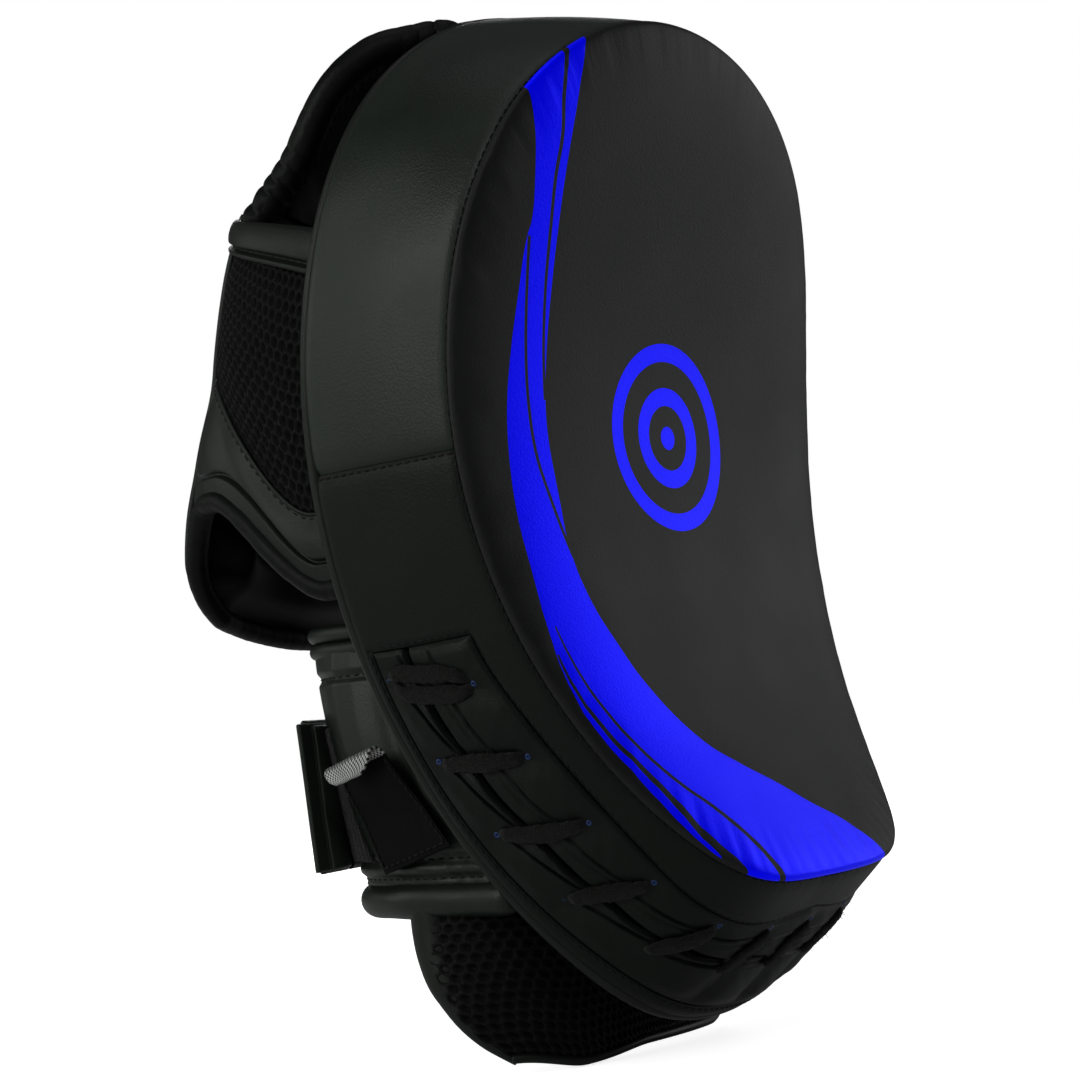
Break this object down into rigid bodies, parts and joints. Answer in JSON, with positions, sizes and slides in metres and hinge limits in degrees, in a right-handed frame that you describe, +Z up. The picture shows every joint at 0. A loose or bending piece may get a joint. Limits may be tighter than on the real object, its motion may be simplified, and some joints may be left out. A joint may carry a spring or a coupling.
{
  "type": "focus mitt",
  "caption": "Curved boxing focus mitt: dished padded strike face, laced side wall, glove with an open-sided finger hood, wrist cuff with a hook-and-loop strap, and a mesh wrist guard.",
  "frame": {"origin": "on the flat middle of the strike face, where the target is", "axes": "-Y is the way the strike face looks, +Z points up the wearer's fingers, +X is to the right seen from the puncher's side"},
  "size_m": [0.1896, 0.1946, 0.3145],
  "materials": {
    "face_leather": "satin black leatherette with a blue foil print",
    "wall_leather": "semi-gloss black leatherette with a fine pebble grain",
    "lining_cloth": "dark satin lining",
    "air_mesh": "black spacer mesh with a honeycomb of holes",
    "foam": "closed-cell foam",
    "stiff_board": "thin stiffening board",
    "lace_cord": "flat woven lace with a fuzzy surface",
    "hook_loop_tape": "woven hook-and-loop tape",
    "elastic_cord": "round elastic cord",
    "woven_label": "black woven label with a silver end"
  },
  "bodies": {
    "mitt": {"face_cover": "face_leather", "side_wall_upper": "wall_leather", "side_wall_lower": "wall_leather", "back_cover": "wall_leather", "lacing_flap_front": "wall_leather", "lacing_flap_back": "wall_leather", "rear_cover": "wall_leather", "top_binding_left": "wall_leather", "top_binding_right": "wall_leather", "lower_band_left": "wall_leather", "lower_band_right": "wall_leather", "opening_rim": "wall_leather", "finger_hood": "wall_leather", "hood_hem_left": "wall_leather", "hood_hem_right": "wall_leather", "cuff_wing_left": "wall_leather", "cuff_wing_right": "wall_leather", "cuff_piping_left": "wall_leather", "cuff_piping_right": "wall_leather", "cuff_roll_left": "wall_leather", "cuff_roll_right": "wall_leather", "strap_root": "wall_leather", "guard_trim_left": "wall_leather", "guard_trim_right": "wall_leather", "grip_barrel": "wall_leather", "lacing_tongue": "lining_cloth", "palm_pad": "lining_cloth", "rear_lining": "lining_cloth", "hood_lining": "lining_cloth", "wrist_cushion": "lining_cloth", "guard_lining": "lining_cloth", "side_mesh_left": "air_mesh", "side_mesh_right": "air_mesh", "guard_mesh": "air_mesh", "strike_foam": "foam", "impact_foam": "foam", "backing_foam": "foam", "side_wadding_upper": "foam", "hand_pad_foam": "foam", "guard_foam": "foam", "base_board": "stiff_board", "lace": "lace_cord", "loop_tape": "hook_loop_tape", "hem_elastic_left": "elastic_cord", "hem_elastic_right": "elastic_cord"},
    "strap": {"strap_body": "wall_leather", "hook_tape": "hook_loop_tape"},
    "tab": {"strap_tab": "wall_leather", "tab_hook_tape": "hook_loop_tape"},
    "label": {"cloth_label": "woven_label"}
  },
  "joints": [
    {"name": "strap_swing", "type": "hinge", "parent": "mitt", "child": "strap", "pos_m": [0.05762, 0.09295, -0.0955], "axis": [0.0948, -0.3288, -0.9396], "range_deg": [0, 140]},
    {"name": "tab_peel", "type": "hinge", "parent": "strap", "child": "tab", "pos_m": [-0.03953, 0.10605, -0.0955], "axis": [-0.1396, -0.1951, -0.9708], "range_deg": [0, 70]},
    {"name": "label_lift", "type": "hinge", "parent": "mitt", "child": "label", "pos_m": [-0.06095, 0.05518, -0.115], "axis": [-0.0765, -0.9971, 0], "range_deg": [0, 60]}
  ]
}
